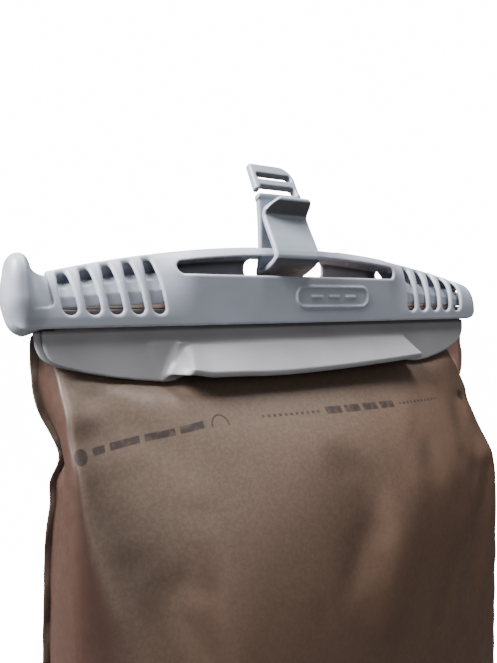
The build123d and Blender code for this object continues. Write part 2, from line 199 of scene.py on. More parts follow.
def surface_net(distance, low, high, step):
    """Closed quad mesh of the zero level of a distance, in millimetres."""
    counts = [int(math.ceil((high[i] - low[i]) / step)) + 1 for i in range(3)]
    axes = [low[i] + step * np.arange(counts[i]) for i in range(3)]
    grid = np.meshgrid(*axes, indexing="ij", sparse=True)
    full = np.broadcast_to(distance(grid), counts).astype(np.float32)
    inside = full < 0
    cells = [n - 1 for n in counts]
    total = np.zeros(cells + [3], np.float32)
    crossings = np.zeros(cells, np.float32)
    sides = [slice(0, -1), slice(1, None)]
    for axis in range(3):
        others = [i for i in range(3) if i != axis]
        for first, second in ((0, 0), (0, 1), (1, 0), (1, 1)):
            start = [sides[0]] * 3
            start[others[0]], start[others[1]] = sides[first], sides[second]
            end = list(start)
            end[axis] = sides[1]
            va, vb = full[tuple(start)], full[tuple(end)]
            hit = inside[tuple(start)] != inside[tuple(end)]
            place = [None, None, None]
            place[axis] = np.where(hit, va / np.where(hit, va - vb, 1), 0)
            place[others[0]], place[others[1]] = first, second
            for i in range(3):
                total[..., i] += np.where(hit, place[i], 0)
            crossings += hit
    used = crossings > 0
    number = np.full(cells, -1)
    number[used] = np.arange(used.sum())
    where = np.argwhere(used)
    points = np.array(low) + step * (where + total[used] / crossings[used][:, None])

    quads = []
    for axis in range(3):
        others = [i for i in range(3) if i != axis]
        if axis == 1:
            others.reverse()
        start, end = [slice(1, -1)] * 3, [slice(1, -1)] * 3
        start[axis], end[axis] = sides
        flip_in = inside[tuple(start)] & ~inside[tuple(end)]
        flip_out = ~inside[tuple(start)] & inside[tuple(end)]
        for flags, order in ((flip_in, (0, 1, 2, 3)), (flip_out, (3, 2, 1, 0))):
            spot = np.argwhere(flags)
            corners = []
            for du, dv in ((0, 0), (1, 0), (1, 1), (0, 1)):
                cell = spot.copy()
                cell[:, others[0]] += du
                cell[:, others[1]] += dv
                corners.append(number[cell[:, 0], cell[:, 1], cell[:, 2]])
            quads.append(np.stack([corners[i] for i in order], 1))
    quads = np.concatenate(quads)

    # settle every point onto the true surface
    tiny = step * 0.2
    for _ in range(SETTLE_ROUNDS):
        value = sample(distance, points)
        slope = np.zeros_like(points)
        for i, nudge in enumerate(np.eye(3) * tiny):
            ahead, behind = sample(distance, points + nudge), sample(distance, points - nudge)
            slope[:, i] = (ahead - behind) / (2 * tiny)
        size = np.maximum((slope ** 2).sum(1), LEAST_SLOPE_SQUARED)
        shift = -slope * (value / size)[:, None]
        length = np.sqrt((shift ** 2).sum(1))
        shift *= np.minimum(1, 0.5 * step / np.maximum(length, 1e-9))[:, None]
        points = points + shift
    return points, quads


def add_object(name, data):
    """Put a mesh, a light or a camera in the scene."""
    obj = bpy.data.objects.new(name, data)
    bpy.context.collection.objects.link(obj)
    return obj


def mesh_object(name, points, faces):
    """A smooth-shaded object from points in the frame's millimetres."""
    mesh = bpy.data.meshes.new(name)
    mesh.from_pydata((np.asarray(points) * MM).tolist(), [], [tuple(map(int, f)) for f in faces])
    mesh.validate()
    mesh.shade_smooth()
    return add_object(name, mesh)


def grid_faces(rows, columns):
    """Quads of a sheet whose points are stored row by row."""
    starts = [r * columns + c for r in range(rows - 1) for c in range(columns - 1)]
    return [(a, a + columns, a + columns + 1, a + 1) for a in starts]


def moulded(name, distance, low, high, step):
    """A moulded piece from its distance, given about the bar's middle plane."""
    points, quads = surface_net(distance, low, high, step)
    points[:, 1] += MIDDLE
    obj = mesh_object(name, points, quads)
    work = bmesh.new()
    work.from_mesh(obj.data)
    bmesh.ops.recalc_face_normals(work, faces=work.faces)
    work.to_mesh(obj.data)
    work.free()
    return obj


def cast(piece, look, body, slot, node):
    """Paint a piece, and say which body it rides on and the CAD node that it replaces. The slot is not used.
    """
    paint(piece, look)
    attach(piece, body)
    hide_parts(node)


# ---- materials
class Nodes:
    """Small helper that adds shader nodes to a material, or to the world, and links them."""

    def __init__(self, owner, shader="Principled BSDF"):
        owner.use_nodes = True
        self.material = owner
        self.tree = owner.node_tree
        self.shader = self.tree.nodes[shader]

    def add(self, kind, inputs=(), **settings):
        node = self.tree.nodes.new(kind)
        for key, value in settings.items():
            setattr(node, key, value)
        for key, value in dict(inputs).items():
            self.put(node.inputs[key], value)
        return node

    def put(self, socket, value):
        if isinstance(value, bpy.types.NodeSocket):
            self.tree.links.new(value, socket)
        else:
            socket.default_value = value

    def look(self, inputs):
        """Set the shader's own sockets."""
        for key, value in inputs.items():
            self.put(self.shader.inputs[key], value)

    def place(self):
        return self.add("ShaderNodeTexCoord").outputs["Object"]

    def millimetres(self):
        """The part's own x, y and z in millimetres."""
        inputs = {0: self.place(), "Scale": 1 / MM}
        scaled = self.add("ShaderNodeVectorMath", inputs, operation="SCALE").outputs[0]
        return self.add("ShaderNodeSeparateXYZ", {0: scaled}).outputs

    def facing(self):
        """The x, y and z of the direction that the surface faces."""
        normal = self.add("ShaderNodeTexCoord").outputs["Normal"]
        return self.add("ShaderNodeSeparateXYZ", {0: normal}).outputs

    def noise(self, scale, detail=3.0, roughness=0.55, stretch=None):
        where = self.place()
        if stretch:
            where = self.add("ShaderNodeMapping", {"Vector": where, "Scale": stretch}).outputs[0]
        inputs = {"Vector": where, "Scale": scale, "Detail": detail, "Roughness": roughness}
        return self.add("ShaderNodeTexNoise", inputs).outputs[0]

    def maths(self, operation, a, b=0.0):
        return self.add("ShaderNodeMath", {0: a, 1: b}, operation=operation).outputs[0]

    def times(self, first, *others):
        for other in others:
            first = self.maths("MULTIPLY", first, other)
        return first

    def plus(self, a, b):
        return self.maths("ADD", a, b)

    def minus(self, a, b):
        return self.maths("SUBTRACT", a, b)

    def ramp(self, value, low, high, to_low=0.0, to_high=1.0):
        inputs = {0: value, 1: low, 2: high, 3: to_low, 4: to_high}
        settings = {"clamp": True, "interpolation_type": "SMOOTHSTEP"}
        return self.add("ShaderNodeMapRange", inputs, **settings).outputs[0]

    def band(self, value, low, high, soft):
        """1 between two values, with soft edges."""
        rise = self.ramp(value, low - soft, low + soft)
        return self.times(rise, self.ramp(value, high - soft, high + soft, 1.0, 0.0))

    def mix(self, share, a, b):
        node = self.add("ShaderNodeMix", data_type="RGBA")
        for socket, value in ((0, share), (6, a), (7, b)):
            self.put(node.inputs[socket], value)
        return node.outputs[2]

    def bump(self, height, strength, distance, below=None):
        """Relief from a height; distance is in millimetres."""
        inputs = {"Strength": strength, "Distance": distance * MM, "Height": height}
        if below is not None:
            inputs["Normal"] = below
        return self.add("ShaderNodeBump", inputs).outputs[0]


def new_nodes(name):
    return Nodes(bpy.data.materials.new(name))


def colour(red, green, blue):
    """A display colour of 0 to 255 as the linear colour that a shader takes."""
    def linear(v):
        v /= 255
        return v / 12.92 if v <= 0.04045 else ((v + 0.055) / 1.055) ** 2.4
    return (linear(red), linear(green), linear(blue), 1)


def scaled_colour(base, share, lift=0.0):
    return tuple(min(1.0, c * share + lift) for c in base[:3]) + (1,)


def moulded_plastic(name, base, worn, roughness):
    """Satin moulded plastic: cloudy colour, spark-eroded grain, rubbed edges."""
    n = new_nodes(name)
    base, worn = colour(*base), colour(*worn)
    cloud = n.noise(28.0, 4.0)
    streak = n.noise(60.0, 3.0, stretch=(0.25, 1.0, 2.2))
    shade = n.mix(n.ramp(cloud, 0.35, 0.68), scaled_colour(base, 0.86), base)
    shade = n.mix(n.ramp(streak, 0.55, 0.8, 0.0, 0.22), shade, worn)
    edge = n.add("ShaderNodeNewGeometry").outputs["Pointiness"]
    patchy = n.ramp(n.noise(240.0, 5.0), 0.35, 0.65, 0.35, 1.0)
    scuff = n.times(n.ramp(edge, 0.505, 0.56), patchy, 0.7)
    shade = n.mix(scuff, shade, worn)
    gloss = n.ramp(n.noise(180.0, 4.0), 0.3, 0.7, roughness - 0.06, roughness + 0.08)
    grain = n.bump(n.noise(2600.0, 2.0), 0.35, 0.02)
    relief = n.bump(n.noise(42.0, 2.0), 0.25, 0.12, grain)
    n.look({"Base Color": shade, "Roughness": gloss, "Normal": relief, "Specular IOR Level": 0.45})
    return n.material


def paint_shade(n, share):
    """Take the shader's colour towards the painted shade colour."""
    clean = n.shader.inputs["Base Color"].links[0].from_socket
    n.look({"Base Color": n.mix(share, clean, PAINTED_SHADE)})


def shade_bar_inside(material):
    """Painted shade on the bar's inside, behind the rail, where little light reaches."""
    n = Nodes(material)
    x, y, z = n.millimetres()
    under_crown = n.plus(z, n.times(x, x, CROWN_DROP))
    under_rail = n.ramp(under_crown, -3.0, -2.2, 1.0, 0.0)
    behind_rail = n.band(n.minus(y, MIDDLE), RAIL_BACK + 0.4, BAR_HALF - BAR_WALL, 0.4)
    in_slot = n.ramp(n.maths("ABSOLUTE", x), 46.5, 48.5, 1.0, 0.0)
    above_channel = n.ramp(z, -12.5, -9.5)
    paint_shade(n, n.times(under_rail, behind_rail, in_slot, above_channel, 0.85))


def shade_undersides(material):
    """Painted shade on faces that look down."""
    n = Nodes(material)
    down = n.times(n.facing()[2], -1.0)
    paint_shade(n, n.ramp(down, 0.12, 0.5, 0.0, 0.8))


def shadow_under_bar(material):
    """Painted shadow on the strips where they sit inside the bar and just under it."""
    n = Nodes(material)
    z = n.millimetres()[2]
    paint_shade(n, n.ramp(z, BAR_BOTTOM - 2.0, BAR_BOTTOM - 0.8, 0.0, 0.85))


def film_material(name, printed):
    """Brown see-through film: hazy grain, painted glow of light through it towards the lower right, on
    right-facing sides and at its folds, painted shade on left-facing sides, the weld and printed marks.
    """
    n = new_nodes(name)
    x, _, z = n.millimetres()
    shade = n.mix(n.ramp(n.noise(9.0, 3.0), 0.3, 0.7), FILM_DARK, FILM_BASE)
    mottle = n.ramp(n.noise(800.0, 3.0, 0.75), 0.42, 0.6)
    shade = n.mix(n.times(mottle, 0.22), shade, FILM_LIGHT)

    # painted glow of light through the film towards the lower right; painted shade where the wall turns to
    # its left side and painted glow where it turns to its right side
    low_right = n.minus(n.times(x, 0.5), z)
    glow_through = n.ramp(n.plus(low_right, n.times(n.noise(14.0, 2.0), 30.0)), 55.0, 140.0)
    shade = n.mix(n.times(glow_through, 0.6), shade, FILM_GLOW_THROUGH)
    sideways = n.facing()[0]
    # painted shade on left-facing film
    shade = n.mix(n.ramp(n.times(sideways, -1.0), 0.22, 0.50), shade, FILM_LEFT_SHADE)
    # painted glow on right-facing film
    shade = n.mix(n.ramp(sideways, 0.45, 0.8, 0.0, 0.8), shade, FILM_RIGHT_GLOW)

    # painted glow on the fold under the strips' right end, the weld's darker edge, and painted glow on the
    # fold inside the bar
    right_fold_glow = n.ramp(n.plus(x, n.times(z, 0.45)), 61.8, 63.4)
    shade = n.mix(n.times(right_fold_glow, n.ramp(z, -64.0, -56.0)), shade, FILM_RIGHT_GLOW)
    shade = n.mix(n.ramp(n.maths("ABSOLUTE", x), 89.5, 91.0, 0.0, 0.6), shade, FILM_EDGE)
    shade = n.mix(n.ramp(z, BAR_BOTTOM + 0.1, BAR_BOTTOM + 3.1), shade, FILM_FOLD_GLOW)
    if printed:
        shade = n.mix(printed_marks(n, x, z), shade, INK)

    gloss = n.ramp(n.noise(300.0, 4.0), 0.3, 0.7, 0.46, 0.6)
    grain = n.bump(n.noise(1500.0, 3.0, 0.7), 0.45, 0.05)
    relief = n.bump(n.noise(55.0, 3.0), 0.3, 0.35, grain)
    n.look({
        "Base Color": shade, "Roughness": gloss, "Normal": relief, "Specular IOR Level": 0.4,
        "Subsurface Weight": 0.12, "Subsurface Radius": (0.004, 0.0022, 0.0015),
    })
    return n.material


def mark_row(n, x, height, row):
    """Marks of one pitch along x, between two ends and two heights."""
    heights, ends, shift, half_pitch, gap = row
    beat = n.maths("PINGPONG", n.plus(x, shift), half_pitch)
    return n.times(n.band(height, *heights), n.ramp(beat, *gap), n.band(x, *ends, 0.2))


def away_from(n, x, z, middle):
    """Distance from a point of the wall, and how far above the point."""
    across = n.minus(x, middle[0])
    up = n.minus(z, middle[1])
    squares = n.plus(n.times(across, across), n.times(up, up))
    return n.maths("SQRT", squares), up


def printed_marks(n, x, z):
    """Plain printed marks: a dotted fill line with solid bars in it, and a slanted row of bars."""
    above_fill = n.minus(n.minus(z, n.times(x, FILL_LINE_SLOPE)), FILL_LINE_Z)
    above_slant = n.minus(n.minus(z, n.times(x, SLANT)), SLANT_START)
    dots = mark_row(n, x, above_fill, DOT_ROW)
    dots = n.times(dots, n.minus(1.0, n.band(x, *DOT_GAP, 0.2)))
    marks = n.maths("MAXIMUM", dots, mark_row(n, x, above_fill, BAR_ROW))
    marks = n.maths("MAXIMUM", marks, mark_row(n, x, above_slant, SLANT_ROW))
    for middle in ROUND_MARKS:
        away, _ = away_from(n, x, z, middle)
        marks = n.maths("MAXIMUM", marks, n.ramp(away, 1.8, 2.2, 1.0, 0.0))

    # an arc that says which way the top folds
    away, up = away_from(n, x, z, ARC_MARK)
    marks = n.maths("MAXIMUM", marks, n.times(n.band(away, 2.6, 3.1, 0.1), n.ramp(up, -0.4, 0.0)))
    rub = n.ramp(n.noise(500.0, 4.0), 0.3, 0.55, 0.45, 0.9)
    return n.times(marks, rub)


def metal(name, base, roughness):
    n = new_nodes(name)
    drawn = n.noise(900.0, 3.0, stretch=(1.0, 1.0, 0.15))
    gloss = n.ramp(drawn, 0.3, 0.7, roughness, roughness + 0.15)
    shade = n.mix(drawn, base, scaled_colour(base, 0.8))
    n.look({"Base Color": shade, "Roughness": gloss, "Normal": n.bump(drawn, 0.2, 0.01), "Metallic": 1.0})
    return n.material


def rubber(name, base):
    n = new_nodes(name)
    cloud = n.noise(300.0, 4.0)
    shade = n.mix(cloud, base, scaled_colour(base, 1.8, 0.01))
    gloss = n.ramp(cloud, 0.3, 0.7, 0.5, 0.75)
    relief = n.bump(n.noise(2200.0, 2.0), 0.4, 0.015)
    n.look({"Base Color": shade, "Roughness": gloss, "Normal": relief, "Sheen Weight": 0.15})
    return n.material


def paint(piece, material):
    """One material for a piece, or for a CAD node that is kept."""
    if not piece.material_slots:
        piece.data.materials.append(material)
    for slot in piece.material_slots:
        slot.material = material


# Each row of printed marks: its heights above its own line and their soft edge, its ends along
# x, how far it is shifted, half its pitch, and the soft edge of the gap between two marks.
FILL_LINE_Z, FILL_LINE_SLOPE = -55.4, -0.022
SLANT, SLANT_START = 0.125, -49.4
DOT_ROW = ((-0.4, 0.4, 0.1), (-27.0, 60.0), 0.0, 1.1, (0.45, 0.7))
DOT_GAP = (-1.8, 34.5)
BAR_ROW = ((-1.0, 1.2, 0.2), (0.0, 32.7), 0.8, 4.3, (0.7, 1.0))
SLANT_ROW = ((-1.0, 1.0, 0.2), (-80.5, -46.5), 3.2, 5.2, (0.6, 0.9))
ROUND_MARKS = [(-84.2, -60.0), (79.5, -57.5)]
ARC_MARK = (-41.0, -56.0)
FILM_BASE = colour(92, 77, 66)
FILM_DARK = colour(83, 68, 58)
FILM_LIGHT = colour(118, 101, 90)
# painted glow of light shining through the film
FILM_GLOW_THROUGH = colour(103, 75, 59)
# painted shade on film that faces left
FILM_LEFT_SHADE = colour(64, 44, 36)
# painted glow of light through film that faces right, and on the fold under the strips' right end
FILM_RIGHT_GLOW = colour(196, 152, 138)
FILM_EDGE = colour(96, 80, 72)
# painted light on the film's fold inside the bar, seen through the vents
FILM_FOLD_GLOW = colour(250, 214, 194)
INK = colour(42, 34, 33)
# painted shade: the colour for the bar's inside, the hook's undersides and the gap under the bar
PAINTED_SHADE = colour(58, 48, 46)

BAR_PLASTIC = moulded_plastic("bar_plastic", (166, 171, 184), (206, 211, 220), 0.42)
# painted shade inside the bar, behind the rail
shade_bar_inside(BAR_PLASTIC)
HOOK_PLASTIC = moulded_plastic("hook_plastic", (158, 166, 178), (206, 211, 218), 0.36)
# painted shade on the hook's undersides
shade_undersides(HOOK_PLASTIC)
LIP_PLASTIC = moulded_plastic("lip_plastic", (142, 141, 145), (188, 191, 197), 0.36)
# painted shadow on the strips inside and just under the bar
shadow_under_bar(LIP_PLASTIC)
PORT_PLASTIC = moulded_plastic("port_plastic", (160, 165, 178), (200, 205, 214), 0.42)
BUTTON_PLASTIC = moulded_plastic("button_plastic", (160, 166, 176), (205, 208, 214), 0.36)
INNER_PLASTIC = moulded_plastic("inner_plastic", (176, 182, 190), (210, 214, 220), 0.4)
SEAL_RUBBER = rubber("seal_rubber", colour(38, 38, 40))
SPRING_STEEL = metal("spring_steel", colour(198, 200, 204), 0.22)
FRONT_FILM = film_material("front_film_brown", True)
BACK_FILM = film_material("back_film_brown", False)

KEPT_NODES = {
    "fold_bead": INNER_PLASTIC, "port_gasket": SEAL_RUBBER, "plug_seal": SEAL_RUBBER,
    "poppet_seal": SEAL_RUBBER, "valve_poppet": INNER_PLASTIC, "valve_cage": INNER_PLASTIC,
}


def paint_kept_nodes():
    for name, material in KEPT_NODES.items():
        paint(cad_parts[name], material)


# ---- the slide bar
def crown(x):
    """Height of the bar's arched top."""
    return CROWN - CROWN_DROP * x * x


def bar_shell(x, y, z):
    """The bar's outer surface seen in section: boxy at the handle, a pointed arch at the vents."""
    slope = 1 / np.sqrt(1 + (2 * CROWN_DROP * x) ** 2)
    top = (z - crown(x)) * slope
    boxy = round_max(np.abs(y) - BAR_HALF, top, 7.0)
    power = 1.45 + 0.75 * smoothstep(x, 58.0, 92.0)
    rise = crown(x) - ARCH_START
    up = np.maximum(z - ARCH_START, 0) / rise
    out = np.abs(y) / BAR_HALF
    size = (up ** power + out ** power) ** (1 / power) + 1e-6
    steepness = np.hypot((up / size) ** (power - 1) / rise, (out / size) ** (power - 1) / BAR_HALF)
    arched = (size - 1) / np.maximum(steepness, 1e-3)
    share = smoothstep(np.abs(x), 42.0, 57.0)
    return boxy * (1 - share) + arched * share


def thumb_pad(x, y, z):
    """Domed oval, narrower towards its lower end."""
    up = z - PAD_MIDDLE
    half_depth = PAD_HALF_DEPTH - 2.4 * smoothstep(-up, 1.0, PAD_HALF_HEIGHT)
    radial = ((np.abs(y) / half_depth) ** 2.5 + (np.abs(up) / PAD_HALF_HEIGHT) ** 2.5) ** 0.4
    oval = (radial - 1) * 8.0
    tuck = 1.6 * smoothstep(-up, 2.0, PAD_HALF_HEIGHT)
    dome = PAD_FACE + 1.6 * np.minimum(radial, 1.3) ** 2 + tuck
    return round_max(oval, overlap(dome - x, x - PAD_FACE - 7.0), 2.2)


def bar_body(x, y, z, shell):
    """The bar's outside with its round open end, and the thumb pad on its other end."""
    past_end, under = x - BAR_END, BAR_BOTTOM - z
    body = round_max(shell, under, 0.5)
    body = round_max(body, past_end, 3.2)
    body = overlap(body, round_max(past_end, under, 7.0))
    body = round_max(body, PAD_FACE + 3.4 - x, 2.0)
    return round_min(body, thumb_pad(x, y, z), 5.5)


def bar_hollow(x, y, z, shell):
    """The bar's cavity, the channel that the fold slides in and the channel's mouth."""
    narrow = 2.2 * smoothstep(x, 89.0, 97.0)
    front = narrow + CHANNEL_FRONT
    cavity = overlap(shell + BAR_WALL, x - 90.0)
    channel = overlap(slab(y, front, CHANNEL_BACK - narrow), z - CHANNEL_TOP, shell + BAR_WALL)
    hollow = overlap(union(cavity, channel), BAR_BOTTOM + 2 - z)
    mouth = overlap(slab(y, front, MOUTH_BACK), z - ARCH_START)
    return overlap(union(hollow, mouth), CHANNEL_START - x)


def handle_slot(x, y, z):
    """The slot under the rail, in front only."""
    slot = round_max(slab(x, SLOT_LEFT, SLOT_RIGHT), z - crown(x) + RAIL_HEIGHT, 1.6)
    slot = round_max(slot, SLOT_BOTTOM - z, 2.4)
    return overlap(slot, y - RAIL_BACK)


def rear_windows(x, y, z):
    """The window behind the hook and the moulding's core hole, through the back wall."""
    window = round_max(slab(x, NOTCH_LEFT, NOTCH_RIGHT), slab(z, SLOT_BOTTOM - 0.5, -2.4), 2.9)
    core_hole = round_max(slab(x, 47.6, 54.6), slab(z, SLOT_BOTTOM, -3.6), 2.5)
    return overlap(union(window, core_hole), NOTCH_BACK - y)


def vent_side(x, z):
    """Distance from the bar's middle, measured along the vents' lean."""
    return np.abs(x) - VENT_FAN * np.maximum(z - VENT_BOTTOM, 0)


def vents(x, y, z):
    """Slots up the front wall, and a shorter row through the back wall."""
    side = vent_side(x, z)
    nearest = np.clip(np.round((side - VENT_FIRST) / VENT_PITCH), 0, VENTS - 1)
    across = np.abs(side - VENT_FIRST - VENT_PITCH * nearest) - VENT_WIDTH / 2
    closing = 0.8 * smoothstep(y, -6.0, VENT_CREST)
    front = round_max(across + closing, VENT_BOTTOM - z, 2.2)
    front = round_max(front, y - VENT_CREST, 1.0)
    back = round_max(across, slab(z, VENT_BOTTOM, BACK_VENT_TOP), 2.2)
    return front, overlap(back, BACK_VENT_FRONT - y)


def vent_scoop(x, z, body):
    """Blind scoop outside the left row of vents, deepest along its inner edge."""
    past_edge = vent_side(x, z) - (VENT_FIRST + VENT_PITCH * (VENTS - 0.5) + 0.8)
    depth = SCOOP_DEPTH * np.clip(1 - past_edge / SCOOP_WIDTH, 0, 1)
    scoop = round_max(-past_edge, SCOOP_BOTTOM - z, 2.0)
    return overlap(scoop, x, past_edge - SCOOP_WIDTH, -body - depth)


def channel_roof(x, y, z, body):
    """Inner wall over the fold, seen through the vents. It gets lower with the bar's crown."""
    squeeze = (crown(VENT_FIRST) - ARCH_START) / (crown(x) - ARCH_START)
    roof = (path_2d(y, ARCH_START + (z - ARCH_START) * squeeze, CHANNEL_ROOF) - 0.5) / squeeze
    return overlap(roof, ROOF_START - np.abs(x), body + 0.5, x - ROOF_END)


def bar_distance(p):
    x, y, z = p
    shell = bar_shell(x, y, z)
    body = bar_body(x, y, z, shell)
    bar = cut(body, bar_hollow(x, y, z, shell), 0.4)
    rail = overlap(body, slab(x, SLOT_LEFT - 2, SLOT_RIGHT + 2), y - RAIL_BACK, RAIL_FOOT - z)
    bar = union(bar, rail)
    bar = cut(bar, handle_slot(x, y, z), 0.8)
    notch = round_max(slab(x, NOTCH_LEFT, NOTCH_RIGHT), slab(y, RAIL_BACK, NOTCH_BACK), 1.5)
    bar = cut(bar, overlap(notch, RAIL_FOOT - z), 0.6)
    bar = cut(bar, rear_windows(x, y, z), 0.6)
    front_vents, back_vents = vents(x, y, z)
    bar = cut(bar, front_vents, 0.85)
    bar = cut(bar, back_vents, 0.6)
    bar = cut(bar, vent_scoop(x, z, body), 0.5)
    return union(bar, channel_roof(x, y, z, body))


def badge_distance(p):
    """Plain raised marks on the front wall: an outline with three bars in it."""
    x, y, z = p
    right, up = x - BADGE_X, z - BADGE_Z
    oval = round_max(np.abs(right) - 17.0, np.abs(up) - 3.6, 3.5)
    ring = np.abs(oval) - 0.45
    bars = overlap(np.abs(np.mod(right + 4.0, 8.0) - 4.0) - 2.6, np.abs(up) - 0.5, np.abs(right) - 12.0)
    return overlap(union(ring, bars), y + BAR_HALF - 0.1)


def slide_bar():
    def distance(p):
        bar = bar_distance(p)
        marks = overlap(badge_distance(p), bar - 0.45)
        return round_min(bar, marks, 0.3)

    low = (PAD_FACE - 2, -BAR_HALF - 2.5, BAR_LOW[2] - 2)
    high = (BAR_END + 2, BAR_HALF + 2.5, CROWN + 2)
    piece = moulded("slide_bar", distance, low, high, 0.45)
    cast(piece, BAR_PLASTIC, "slider", "bar_plastic", "slide_seal_bar")


# ---- the hanging hook
HOOK_LOW, HOOK_HIGH = cad_box("hanging_hook")
HOOK_MIDDLE = (HOOK_LOW[0] + HOOK_HIGH[0]) / 2
HOOK_HALF = (HOOK_HIGH[0] - HOOK_LOW[0]) / 2
LEG_TOP = (0.4, 19.8)
LADDER_LEAN = math.radians(28.0)
HOOK_LINE = [
    (0.4, 20.8), (0.0, 16.0), (-0.9, 8.0), (-0.9, -4.0), (0.7, -8.2), (-1.6, -8.2),
    (-11.3, -3.6), (-11.4, -1.0), (-3.6, 11.6), (-3.8, 14.0), (-6.9, 18.2),
]


# ribbon and ladder plate of the hook; each ladder slot's middle height, half height and rounding
RIBBON_HALF, PLATE_HALF, PLATE_TOP = 1.15, 1.6, 14.3
LADDER_HALF = 7.5
LADDER_SLOTS = [(8.8, 1.2, 0.9), (2.6, 1.9, 1.0)]


def hook_distance(p):
    """Bent ribbon with a lip in front, and a webbing ladder that leans back on top."""
    x, y, z = p
    ribbon = path_2d(y, z, smooth_path(HOOK_LINE)) - RIBBON_HALF
    right = x - HOOK_MIDDLE
    on_lip = smoothstep(-y, 3.0, 5.0)
    slope_in = 0.75 * np.clip(z - 14.6, 0, 5) * smoothstep(-right, 0, 3) + 0.4 * np.clip(z - 16.6, 0, 3)
    across = np.abs(right) - HOOK_HALF + slope_in * on_lip
    legs = round_max(ribbon, across, 0.9)

    lean_sin, lean_cos = math.sin(LADDER_LEAN), math.cos(LADDER_LEAN)
    back, above = y - LEG_TOP[0], z - LEG_TOP[1]
    up = back * lean_sin + above * lean_cos
    out = back * lean_cos - above * lean_sin
    outline = round_max(right - HOOK_HALF, up - PLATE_TOP, 6.5)
    outline = round_max(outline, -right - HOOK_HALF, 0.5)
    outline = overlap(outline, -0.8 - up)
    holes = overlap(right + 5.5, np.abs(up - 1.7) - 1.1)
    for middle, half, rounding in LADDER_SLOTS:
        hole = round_max(np.abs(right) - LADDER_HALF, np.abs(up - middle) - half, rounding)
        holes = union(holes, hole)
    plate = round_max(outline, np.abs(out) - PLATE_HALF, 0.9)
    plate = cut(plate, holes, 0.7)
    body = round_min(legs, plate, 1.2)
    return cut(body, overlap(holes, np.abs(out) - 3), 0.5)


def hook():
    low = (HOOK_LOW[0] - 1, HOOK_LOW[1] - MIDDLE - 1, HOOK_LOW[2] - 1)
    high = (HOOK_HIGH[0] + 1, HOOK_HIGH[1] - MIDDLE + 1.5, HOOK_HIGH[2] + 1.5)
    piece = moulded("spring_hook", hook_distance, low, high, 0.33)
    cast(piece, HOOK_PLASTIC, "hanger", "hook_plastic", "hanging_hook")


# ---- the mouth strips
FOLD_HALF = 88.0
FOLD_TONGUE = 6.0           # how far the folded film runs on inside the bar's open end
LIP_TOP = -20.2
FLAP_TOP = -25.9
FLAP_SLOPE = 2.6 / 16.8
OUTER_LIP_Y, INNER_LIP_Y = -5.1, -3.4
LIP_HALF_THICK = 0.75
FLAP_CONTOUR = [
    (-93.3, -27.5), (-93.0, -31.0), (-91.2, -34.8), (-87.4, -36.8), (-74.6, -40.2), (-58.5, -42.6),
    (-52.5, -43.1), (-48.0, -41.6), (-44.0, -40.6), (-30.0, -40.6), (20.0, -41.0), (50.0, -41.4),
    (56.0, -42.3), (63.3, -41.9), (76.9, -38.8), (85.7, -34.9), (88.6, -31.0), (89.2, -27.5),
]
LEDGE_LEFT, LEDGE_RIGHT = -51.5, 51.6
LEDGE_TOP = -31.4
LEDGE_REACH = 9.6
LEDGE_BACK = -6.7           # where the ledge leaves the strip's face
LEDGE_RIM = 1.8
LEDGE_SKIN = 1.7
STRIPS_LOW, STRIPS_HIGH = (-95.0, -18.5, -45.0), (91.0, -1.5, -19.0)


def flap_middle(root, z):
    return root - FLAP_SLOPE * np.maximum(0, FLAP_TOP - z)


def flap_distance(p, root, inset):
    """One mouth strip: narrow where it is in the bar, and a wide flap below."""
    x, y, z = p
    reach = -FLAP_CONTOUR[0][0]
    contour = [(u + inset * max(0.0, -u / reach) ** 4, v) for u, v in FLAP_CONTOUR]
    left, right = contour[0][0], contour[-1][0]
    top = [(right, FLAP_TOP), (FOLD_HALF, FLAP_TOP), (FOLD_HALF, LIP_TOP),
           (-FOLD_HALF, LIP_TOP), (-FOLD_HALF, FLAP_TOP), (left, FLAP_TOP)]
    outline = polygon_2d(x, z, smooth_path(contour) + top)
    return round_max(outline, np.abs(y - flap_middle(root, z)) - LIP_HALF_THICK, 0.55)


def ledge_distance(p):
    """Finger ledge: a sloping shelf with a thick rim, hollow underneath."""
    x, y, z = p
    grow = smoothstep(x - 0.6 * np.minimum(z - LEDGE_TOP, 0), LEDGE_LEFT, LEDGE_LEFT + 8.0)
    reach = (LEDGE_REACH + 1.2) * grow - 1.2
    dip = 1.2 * smoothstep(x, -49.0, -40.0) + 0.9 * smoothstep(x, -42.0, -14.0)
    rim_low = -40.6 - dip + 2.7 * (np.clip(x + 12, 0, 64) / 64) ** 1.6
    rim_top = rim_low + LEDGE_RIM
    share = np.clip((LEDGE_TOP - z) / (LEDGE_TOP - rim_top), 0, 1) ** 1.1
    top = overlap((LEDGE_BACK - reach * share - y) * 0.6, z - LEDGE_TOP)
    front = (LEDGE_BACK - reach - y) * 0.95
    right_end = (x - LEDGE_RIGHT - 0.12 * (LEDGE_TOP - z)) * 0.98
    solid = round_max(top, front, 0.5)
    solid = round_max(solid, rim_low - z, 0.6)
    solid = round_max(solid, right_end, 0.7)
    solid = overlap(solid, y + 6.0)
    under = overlap(top + LEDGE_SKIN, front + 1.9, right_end + 1.6, y + 7.4, -47.0 - x)
    return cut(solid, under, 0.4)


def outer_strip(p):
    """The front strip with the finger ledge, blended most at the ledge's left end."""
    x = p[0]
    corner = smoothstep(x, -63.0, -57.0) * (1 - smoothstep(x, -54.0, -44.0))
    return round_min(flap_distance(p, OUTER_LIP_Y, 1.9), ledge_distance(p), 0.35 + 2.4 * corner)


def inner_strip(p):
    return flap_distance(p, INNER_LIP_Y, 0.0)


def mouth_strips():
    inner_low = (STRIPS_LOW[0], -8.5, STRIPS_LOW[2])
    for name, distance, low, node in (
            ("outer_mouth_strip", outer_strip, STRIPS_LOW, "outer_mouth_lip"),
            ("inner_mouth_strip", inner_strip, inner_low, "inner_mouth_lip")):
        piece = moulded(name, distance, low, STRIPS_HIGH, 0.42)
        cast(piece, LIP_PLASTIC, "reservoir", "lip_plastic", node)


